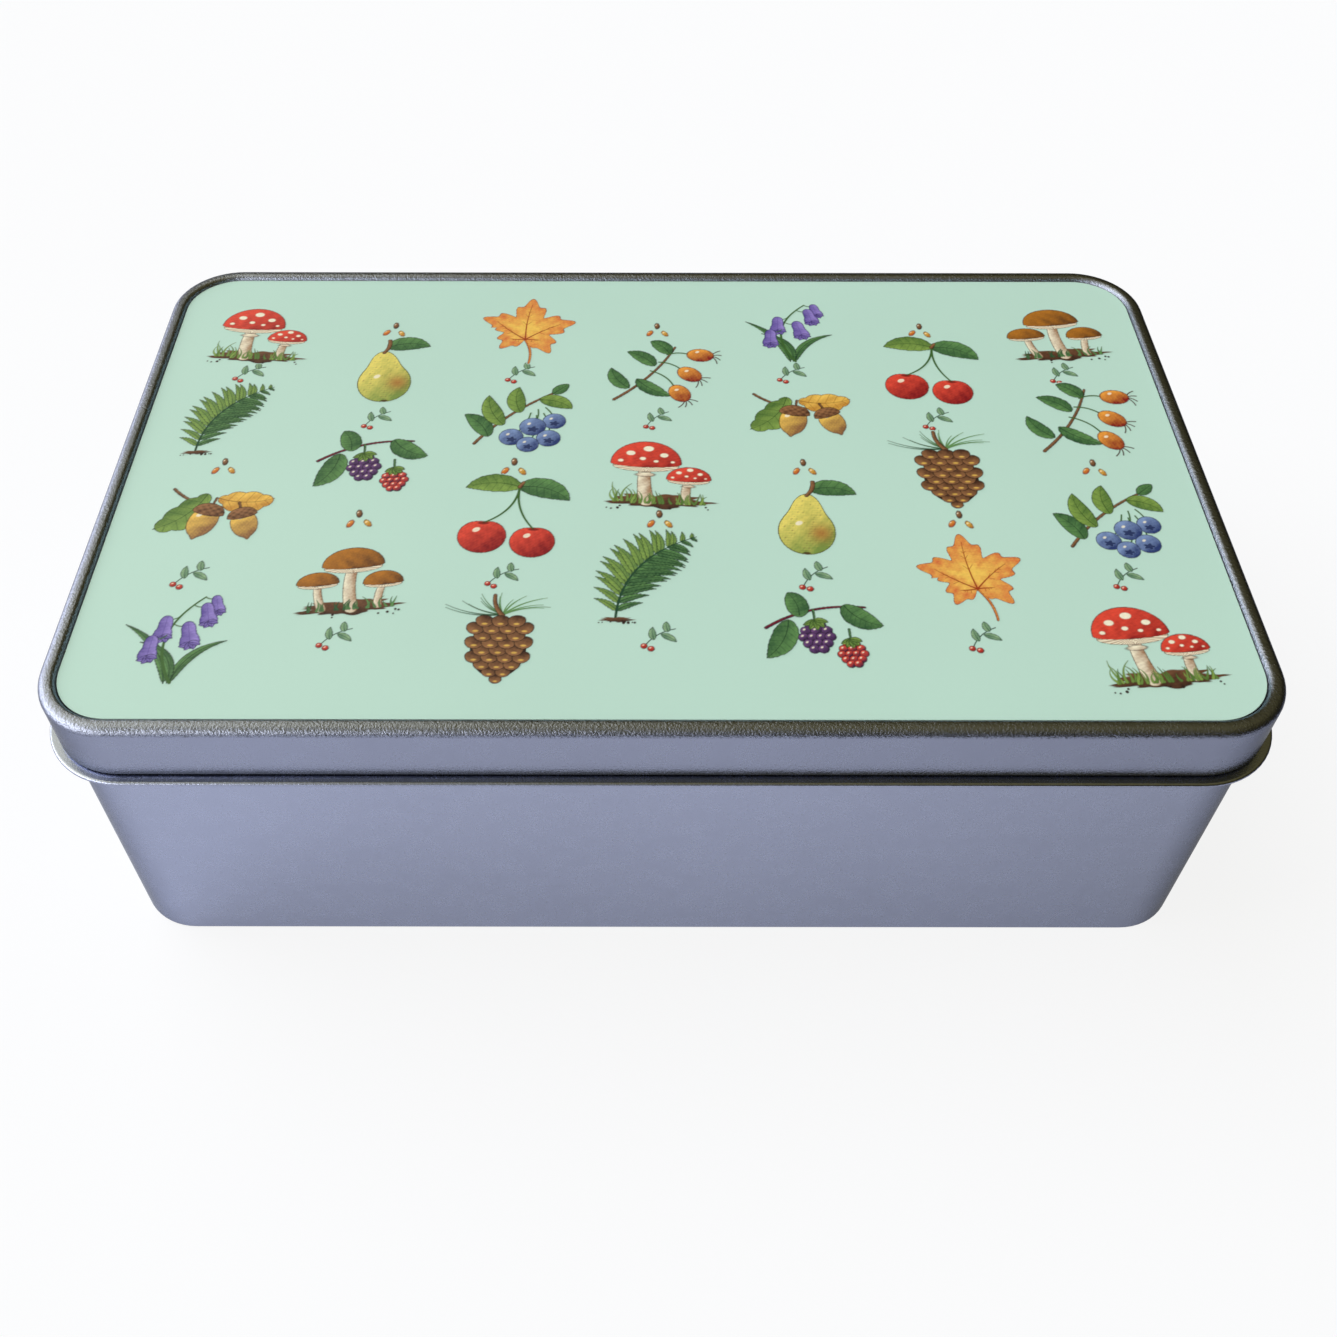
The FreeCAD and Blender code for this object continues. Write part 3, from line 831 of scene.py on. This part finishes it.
def maple_leaf():
    motif = Motif(23, 23, 41)
    centre = 0.2 + 0.4j

    def lobed(angle):
        """Five toothed lobes round the leaf, longest opposite the stalk, with a notch at the stalk."""
        turned = angle - np.pi / 2
        lobes = 0.58 + 0.42 * abs(np.cos(2.5 * turned)) ** 1.5 * (0.62 + 0.38 * np.cos(turned * 0.5))
        notch = bulged(-0.3, np.pi, 0.3)
        return lobes * (1 + 0.1 * np.cos(15 * turned)) * notch(abs(turned))

    motif.stalk(centre - 3.5j, 1.8 - 10.6j, 0.26, RUST, 0.08)
    form = motif.disc(centre, 9.4, 1.0, 0, lobed)
    motif.shaded(form, (AMBER[0], SCARLET[0] * 0.8), 0.75 * abs(form.across) - 0.1)
    for turn, reach in ((90, 8.2), (18, 6.8), (162, 6.8), (-48, 4.6), (228, 4.6)):
        way = spoke(turn)
        vein = bow(centre - 3.4j, centre + reach * way, 0.03)
        motif.stroke(vein, (0.16, 0.05), RUST[1] * 0.8)
        for share in (0.45, 0.65, 0.82):
            place = vein[int(share * (BOW_POINTS - 1))]
            for side in (38, -38):
                twig = place + 0.26 * reach * (1.1 - share) * way * spoke(side)
                motif.stroke(bow(place, twig, 0, 4), 0.06, RUST[1] * 0.9, 0.8)
    motif.outline(form, RUST[1] * 0.4)
    return motif


def fern():
    motif = Motif(26, 26, 53)
    spine = bow(-7.4 - 9.6j, 6.2 + 9.4j, 0.16, 30)
    ways = np.gradient(spine)
    ways = ways / abs(ways)
    for share in np.linspace(0.1, 0.97, 17):
        number = int(share * 29)
        length = 7.2 * np.sin(np.pi * (0.12 + 0.86 * share)) ** 0.9
        for side in (1, -1):
            base = spine[number]
            tip = base + length * ways[number] * spoke(62 * side)
            tones = FOREST if side < 0 else (MOSS[0], FOREST[0] * 0.6)
            breadth = 0.22 + 0.1 * length
            motif.leaf(base, tip, breadth, tones, -0.08 * side, teeth=7, veins=7, fullness=0.6)
    motif.stroke(spine, (0.24, 0.08), FOREST[1])
    motif.soil(-7.2 - 9.8j, 2.6)
    return motif


def cherries():
    motif = Motif(25, 26, 67)
    joint = 1.2 + 8.6j
    motif.leaf(joint, 10.4 + 5.2j, 2.6, FOREST, 0.14, teeth=11, veins=7)
    motif.leaf(joint, -8.6 + 8.2j, 2.4, MOSS, -0.12, teeth=11, veins=7)
    heart = bulged(-0.1, np.pi / 2, 0.45)
    for centre, radius, bulge in ((-4.6 - 4.2j, 4.3, 0.14), (4.4 - 5.4j, 4.0, -0.1)):
        motif.berry(centre, radius, SCARLET, 0.96, 0, heart, 0.17)
        motif.stroke(bow(joint, centre + 0.78j * radius, bulge), (0.24, 0.17), MOSS[1])
        dimple = motif.disc(centre + 0.76j * radius, 0.24 * radius, 0.35)
        motif.fill(dimple, SCARLET[1] * 0.5, 0.8)
    motif.stalk(joint, joint + 0.6 + 1.2j, 0.4, BARK)
    return motif


def pear():
    motif = Motif(23, 25, 79)
    body = -0.6 - 3.0j
    neck = bulged(0.72, np.pi / 2, 0.4)

    def shape(angle):
        """Round below, with a neck above."""
        return neck(angle) - 0.06 * np.cos(2 * angle)

    motif.leaf(0.2 + 8.2j, 8.8 + 7.6j, 2.2, FOREST, 0.14, teeth=9, veins=6)
    motif.berry(body, 5.6, (LEMON[0], MOSS[0] * 0.75), 1.0, 0, shape, 0.13)
    form = motif.disc(body, 5.6, 1.0, 0, shape)
    blush = np.exp(-abs(form.across - 0.5 + 0.05j) ** 2 / 0.16)
    motif.lay(form, form.inside(0.2) * 0.6 * blush, RUST[1])
    freckles = (motif.fleck[form.window] > 0.95) & (abs(form.across) < 0.9)
    motif.lay(form, form.inside(0.3) * 0.5 * freckles, BARK[0])
    motif.outline(form, LEMON[1] * 0.3)
    motif.stalk(-0.6 + 6.6j, 0.6 + 10.4j, 0.36, BARK, -0.1, 1.2)
    motif.fill(motif.disc(body - 5.65j, 0.7, 0.45), BARK[1], 0.9)
    return motif


def bluebells():
    motif = Motif(24, 25, 83)
    for base, tip, bulge in (
        (-1 - 10j, -8.4 + 3.6j, -0.12), (0 - 10j, 8.6 - 2.0j, 0.16), (-0.4 - 10j, -5.6 - 0.6j, -0.2)
    ):
        motif.leaf(base, tip, 0.85, FOREST, bulge, veins=1, fullness=0.7)
    spine = bow(0 - 10j, 4.4 + 8.4j, 0.2, 30)
    motif.stroke(spine, (0.3, 0.16), MOSS[1])
    widths = np.array([0.5, 0.95, 1.1, 1.15, 1.15, 1.15, 1.15, 1.2, 1.25, 1.35, 1.5, 1.6])
    for number, side, size in ((29, 1, 0.8), (26, 1, 0.95), (22, -1, 1.0), (19, 1, 1.05), (15, -1, 1.0)):
        hang = spine[number] + size * (side * 2.3 - 0.4j)
        motif.stroke(bow(spine[number], hang, -0.2 * side, 8), 0.12, MOSS[1])
        foot = hang + size * (0.5 * side - 3.6j)
        bell = motif.limb(bow(hang, foot, 0, len(widths)), size * widths)
        motif.shaded(bell, VIOLET, 0.4 - 0.4 * bell.across)
        motif.lay(bell, bell.inside(0.1) * np.clip(6 * np.cos(7 * bell.across) - 5, 0, 1) * 0.5, VIOLET[1])
        motif.outline(bell, VIOLET[1] * 0.4)
        for turn in (-150, -112, -68, -30):
            motif.leaf(foot - 0.3j * size, foot + 1.89 * size * spoke(turn), 0.5 * size, VIOLET, 0.1, veins=1)
    return motif


def pine_cone():
    motif = Motif(25, 25, 97)

    def oval(angle):
        """An ellipse, 0.74 times as wide as it is tall."""
        return 1 / np.hypot(np.cos(angle) / 0.74, np.sin(angle))

    root = 0.3 + 5.2j
    for turn in np.linspace(20, 160, 17):
        way = spoke(turn + 6 * np.sin(turn))
        reach = (7.2 + 1.4 * np.sin(3 * turn)) * (1.35 * way.real + 0.62j * way.imag)
        tone = between(FOREST, np.array(0.5 + 0.5 * np.sin(5 * turn)))
        motif.stroke(bow(root, root + reach, 0.08, 8), (0.17, 0.05), tone)
    motif.stalk(0.2 + 5j, -1.4 + 9.8j, 0.45, BARK, 0.1)
    heights = np.linspace(-9.4, 3.8, 9)
    reaches = 5.3 * np.sqrt(1 - ((heights - 0.4) / 10.2) ** 2)
    motif.fill(motif.disc(0 - 2.6j, 6.6, outline=oval), EARTH[1])
    for row, (height, reach) in enumerate(zip(heights, reaches)):
        size = 0.85 + 0.15 * reach
        places = 1.75 * size * (np.arange(-3, 4) + 0.5 * (row % 2))
        for place in places[abs(places) < reach]:
            scale = motif.disc(place + 1j * height, size, 1.0, 3.5 * place, dome(0.75, 0.95))
            motif.shaded(scale, BARK, 0.55 + 0.5 * scale.across.imag + 0.15 * scale.across.real)
            motif.outline(scale, EARTH[1] * 0.5, 0.9)
            motif.fill(motif.disc(place + 1j * (height - 0.5 * size), 0.3 * size, 0.45), AMBER[0], 0.7)
    return motif


def mushrooms():
    motif = Motif(24, 22, 101)
    motif.soil(0 - 7.6j, 8.2)
    for foot, top, width in (
        (-4.6 - 7.6j, -5.4 - 1.6j, 0.8), (0.6 - 7.8j, 0.8 + 2.4j, 1.2), (5.2 - 7.6j, 6.2 - 2.4j, 0.75)
    ):
        motif.stalk(foot, top, width, (CREAM, BARK[0]), 0.05, 0.8)
    for centre, width, height in ((-5.4 - 1.4j, 3.8, 0.72), (6.2 - 2.2j, 3.6, 0.8), (0.8 + 2.6j, 5.6, 0.78)):
        cap(motif, centre, width, height, (AMBER[1], BARK[1]))
    motif.grass(-8.4 - 8j, 8.4 - 8j, 2.5, 24, FOREST)
    return motif


def bilberries():
    motif = Motif(25, 24, 113)

    def starred(angle):
        """Five low points round a circle."""
        return 1 + 0.25 * np.cos(5 * angle)

    motif.stalk(-8.6 - 6.4j, 7.6 + 7.2j, 0.3, BARK, 0.06)
    for base, tip, breadth, bulge in (
        (-6 - 4.4j, -10.2 + 2.2j, 1.9, -0.1), (-3 - 1.4j, -5.4 + 7.4j, 1.9, 0.1),
        (0.4 + 2.0j, 0.6 + 9.4j, 1.8, 0.1), (4.6 + 5.2j, 10.4 + 2.0j, 1.8, 0.12),
        (7.2 + 7j, 10.2 + 9.4j, 1.2, 0.0),
    ):
        motif.leaf(base, tip, breadth, MOSS if bulge > 0 else FOREST, bulge, veins=5)
    fruit = ((6.8 - 1.4j, 2.2), (2.6 - 2.6j, 2.5), (-1.6 - 5.2j, 2.3), (5.4 - 6.2j, 2.3), (1.4 - 7.6j, 2.1))
    for centre, _ in fruit:
        motif.stroke(bow(centre, 0.35 * centre + 0.65 * (4.6 + 5.0j), -0.08, 8), 0.15, MOSS[1])
    for centre, radius in fruit:
        motif.berry(centre, radius, SLATE, glint=0.16)
        crown = motif.disc(centre - 0.3j * radius, 0.4 * radius, 0.75, outline=starred)
        motif.fill(crown, SLATE[1] * 0.6, 0.9)
        motif.outline(crown, SLATE[0], 0.5, 0.03)
    return motif


def rose_hips():
    motif = Motif(27, 25, 127)
    motif.stalk(-7.8 - 9.2j, 2.6 + 8.8j, 0.3, BARK, -0.06)
    for base, tip, bulge in (
        (-5.4 - 5.2j, -9.6 + 0.6j, 0.1), (-4.0 - 2.4j, 3.4 - 6.8j, -0.08),
        (-1.0 + 2.4j, -7.0 + 6.2j, -0.1), (1.6 + 6.8j, -2.6 + 10.2j, -0.1),
    ):
        motif.leaf(base, tip, 1.7, FOREST, bulge, teeth=9, veins=6)
    for joint, centre, turn in (
        (-0.2 + 3.6j, 6.4 + 0.4j, -35), (1.2 + 6.2j, 8.0 + 6.8j, 0), (-1.6 + 0.6j, 5.0 - 5.8j, -55)
    ):
        way = spoke(turn)
        motif.stroke(bow(joint, centre - 2.2 * way, 0.12, 10), 0.17, MOSS[1])
        for side in (-32, -14, 6, 26):
            bristle = bow(centre + 2.2 * way, centre + 4.3 * way * spoke(side), 0.1, 6)
            motif.stroke(bristle, 0.12, BARK[1])
        motif.berry(centre, 2.75, (RUST[0], SCARLET[1]), 0.74, turn, None, 0.16)
    return motif


def leaf_sprig():
    motif = Motif(8, 8, 131)
    motif.stroke(bow(-2.4 - 1.8j, 2.2 + 2.0j, 0.1, 10), 0.1, FOREST[1])
    for base, tip in ((-1.2 - 0.6j, -1.6 + 2.0j), (0 + 0.6j, 2.6 - 0.8j), (1.0 + 1.4j, 0.6 + 3.4j)):
        motif.leaf(base, tip, 0.62, SAGE, 0.06, veins=1)
    for centre in (-2.7 - 2.2j, -1.5 - 2.7j):
        motif.berry(centre, 0.55, SCARLET, glint=0.3)
    return motif


def seed_trio():
    motif = Motif(8, 8, 137)
    for centre, turn, tones in ((-1.6 - 0.9j, 60, RUST), (1.5 - 1.1j, 120, AMBER), (0 + 1.5j, 90, BARK)):
        motif.berry(centre, 0.95, tones, 0.55, turn, None, 0.2)
    return motif


# The layout: the least cover that is kept, the print's height over the plate and its pitches, in mm, and the
# ranges of each motif's size and turn, in degrees.
INK_TRACE = 0.004
PRINT_LIFT = 0.02
COLUMN_PITCH = 26.6
ROW_PITCH = 27.4
SIZE_RANGE = 0.94, 1.03
TURN_RANGE = -7, 7
REPEAT = (
    (toadstools, fern, acorns, bluebells),
    (pear, brambles, mushrooms),
    (maple_leaf, bilberries, cherries, pine_cone),
    (rose_hips, toadstools, fern),
    (bluebells, acorns, pear, brambles),
    (cherries, pine_cone, maple_leaf),
    (mushrooms, rose_hips, bilberries, toadstools),
)
FILLERS = leaf_sprig, seed_trio


def half_drop():
    """The repeat: columns of motifs a pitch apart, every other column half a row lower, and fillers between.

    Gives each painter the complex places of its motif on the plate.
    """
    places = {}
    for column, painters in enumerate(REPEAT):
        x = (column - (len(REPEAT) - 1) / 2) * COLUMN_PITCH
        top = (len(painters) - 1) / 2
        for row, painter in enumerate(painters):
            places.setdefault(painter, []).append(x + 1j * (top - row) * ROW_PITCH)
        gaps = np.arange(top - 0.5, -top, -1) if column % 2 == 0 else np.arange(top + 0.5, -top - 1, -1)
        for row, gap in enumerate(gaps):
            filler = FILLERS[(row + column) % 2]
            places.setdefault(filler, []).append(x + 1j * gap * ROW_PITCH)
    return places


def lay_print(painter, places, ink, draw):
    """A motif's inked quads laid at its places: place + size * exp(i * turn) * grid, just above the plate.

    A filler lies lower than the motifs that it may touch.
    """
    lift = PRINT_LIFT / 2 if painter in FILLERS else PRINT_LIFT
    motif = painter()
    quads = grid_faces(*motif.at.shape)
    inked = motif.cover.ravel() > INK_TRACE
    quads = quads[inked[quads].any(axis=1)]
    used, quads = np.unique(quads, return_inverse=True)
    count = len(places)
    spin = draw.uniform(*SIZE_RANGE, count) * spoke(draw.uniform(*TURN_RANGE, count))
    laid = np.array(places)[:, None] + spin[:, None] * motif.at.ravel()[used]
    points = np.stack([laid.real, laid.imag, np.full(laid.shape, plate_high[2] + lift)], axis=-1)
    faces = quads.reshape(-1, 4)[None] + len(used) * np.arange(count)[:, None, None]
    tone = np.concatenate([motif.tone.reshape(-1, 3)[used], np.ones((len(used), 1))], axis=1)
    attributes = [
        ("ink_tone", "FLOAT_COLOR", "color", np.tile(tone, (count, 1))),
        ("ink_cover", "FLOAT", "value", np.tile(motif.cover.ravel()[used], count)),
    ]
    name = "print_" + painter.__name__
    piece = make_piece(name, points.reshape(-1, 3), [faces.reshape(-1, 4)], [ink], attributes)
    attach(piece, "lid")


ink = printed_ink()
draw = np.random.default_rng(7)
for painter, places in half_drop().items():
    lay_print(painter, places, ink, draw)

# Floor, light and camera. Reflections show a table that ends TABLE_EDGE metres to the right and in front.
scene = bpy.context.scene
FLOOR_HALF = 3.0
TABLE_EDGE = 0.2 + 0.17j
EDGE_SLOPE = 30.0
# Painted shade on the floor as seen in reflections: how fast it grows to the right, per metre, and its most.
PAINTED_SHADE_SLOPE, PAINTED_SHADE = 8.0, 0.28
SEEN_SHINE, MIRRORED_SHINE = 0.87, 0.46


def pale_floor():
    """A pale matt floor that shines white to the eye, so that shadows stay faint.

    In reflections it ends at the table's edges, and painted shade makes it a little darker on the right.
    """
    finish = Finish("pale_floor")
    colour = finish.mix(finish.noise(120.0), rgba((0.82, 0.86, 0.97)), rgba((0.85, 0.89, 1.0)))
    shine = finish.node("ShaderNodeEmission", None, {"Color": rgba((1.0, 1.0, 1.0)), "Strength": 1.0})
    mirrored = finish.ray("Glossy")
    right, back, _ = finish.parts(finish.position())
    front = ((back + TABLE_EDGE.imag) * -EDGE_SLOPE).clamped()
    # Painted shade: in reflections the floor darkens towards the right, as well as past the table's right
    # edge.
    side = ((right - TABLE_EDGE.real) * EDGE_SLOPE).clamped() + PAINTED_SHADE * (PAINTED_SHADE_SLOPE * right).clamped()
    beyond_edge_and_shade = mirrored * (front + side).clamped()
    colour = finish.mix(beyond_edge_and_shade, colour, rgba((0.03, 0.03, 0.03)))
    matt = finish.node("ShaderNodeBsdfDiffuse", None, {"Color": colour})
    share = finish.ray("Camera") * SEEN_SHINE + (mirrored - beyond_edge_and_shade) * MIRRORED_SHINE
    surface = finish.node("ShaderNodeMixShader", None, {0: share, 1: matt, 2: shine})
    finish.node("ShaderNodeOutputMaterial", None, {"Surface": surface})
    return finish.made


floor_points = np.array([[-1, -1, 0], [1, -1, 0], [1, 1, 0], [-1, 1, 0]]) * FLOOR_HALF / MM
floor = make_piece("floor", floor_points, [np.array([[0, 1, 2, 3]])], [pale_floor()])


def add_lamp(name, lamp, place, way):
    """A lamp at a place that shines the way it is turned."""
    made = bpy.data.objects.new(name, lamp)
    made.location = place
    made.rotation_euler = way.to_track_quat("-Z", "Y").to_euler()
    scene.collection.objects.link(made)
    return made


def window(name, first, last, low, high, radiance, colour):
    """An upright window between two places in plan and two heights, for reflections alone.

    Its power is pi * radiance * area.
    """
    lamp = bpy.data.lights.new(name, "AREA")
    lamp.shape = "RECTANGLE"
    side = last - first
    lamp.size, lamp.size_y = abs(side), high - low
    lamp.energy = math.pi * radiance * lamp.size * lamp.size_y
    lamp.color = colour
    middle, facing = (first + last) / 2, 1j * side
    place = Vector((middle.real, middle.imag, (low + high) / 2))
    made = add_lamp(name, lamp, place, Vector((facing.real, facing.imag, 0)))
    made.visible_camera = False
    made.visible_diffuse = False


def overcast(name, azimuth, elevation, strength, spread, colour):
    """Even light from one side of the ceiling, as wide as spread degrees, which reflections leave out.

    Its azimuth is from the right, counterclockwise, and both angles are in degrees.
    """
    plan, upright = spoke(azimuth), spoke(elevation)
    place = Vector((upright.real * plan.real, upright.real * plan.imag, upright.imag))
    lamp = bpy.data.lights.new(name, "SUN")
    lamp.energy = strength
    lamp.angle = math.radians(spread)
    lamp.color = colour
    made = add_lamp(name, lamp, place, -place)
    made.visible_glossy = False


window("upper_window", -0.165 + 0.375j, -0.547 - 0.262j, 0.25, 1.0, 1.0, (1.0, 0.98, 0.7))
window("lower_window", -0.45 + 0.48j, -0.33 - 0.85j, 0.05, 0.25, 2.8, (1.0, 1.0, 0.95))
overcast("ceiling_light", 150, 42, 3.0, 70, (1.0, 1.01, 1.07))


# The room's light: the warm ceiling's share straight up, and the bright side's slopes to the right and to the
# back, and where it begins.
CEILING = 0.2
BRIGHT_SIDE, BRIGHT_START = -1.1 - 0.3j, 0.07


def dim_room():
    """A dark room, lighter overhead and lightest in front on the left, which the eye sees as white."""
    room = Finish("dim_room", bpy.data.worlds)
    right, back, up = room.parts(room.node("ShaderNodeTexCoord", output="Generated"))
    high = up.clamped()
    colour = room.mix(CEILING * high * high, rgba((0.03, 0.025, 0.008)), rgba((1.0, 0.86, 0.32)))
    bright = (right * BRIGHT_SIDE.real + back * BRIGHT_SIDE.imag - BRIGHT_START).clamped()
    colour = room.mix(bright, colour, rgba((1.0, 1.0, 0.85)))
    colour = room.mix(room.ray("Camera"), colour, rgba((0.985, 0.985, 0.985)))
    background = room.node("ShaderNodeBackground", None, {"Color": colour, "Strength": 1.0})
    room.node("ShaderNodeOutputWorld", None, {"Surface": background})
    return room.made


scene.world = dim_room()
scene.view_settings.view_transform = "Standard"

# The camera, fitted to the photograph: metres, degrees, pixels of the frame and millimetres of sensor.
CAMERA_PLACE = (-0.003717, -0.189499, 0.234093)
CAMERA_PITCH, CAMERA_ROLL = 49.183, 0.082
FOCAL_PIXELS, FRAME_PIXELS, SENSOR = 1382.97, 1337, 36.0
AXIS_PIXELS = -29.86 - 31.33j


def place_camera():
    """The photograph's viewpoint: tipped down, rolled about its own axis, which is off the frame's middle."""
    lens = bpy.data.cameras.new("camera")
    lens.sensor_width = SENSOR
    lens.lens = SENSOR * FOCAL_PIXELS / FRAME_PIXELS
    lens.shift_x = -AXIS_PIXELS.real / FRAME_PIXELS
    lens.shift_y = AXIS_PIXELS.imag / FRAME_PIXELS
    lens.clip_start = 0.01
    made = bpy.data.objects.new("camera", lens)
    tip = Matrix.Rotation(math.radians(90 - CAMERA_PITCH), 4, "X")
    roll = Matrix.Rotation(math.radians(CAMERA_ROLL), 4, "Z")
    made.matrix_world = Matrix.Translation(CAMERA_PLACE) @ tip @ roll
    scene.collection.objects.link(made)
    scene.camera = made


place_camera()
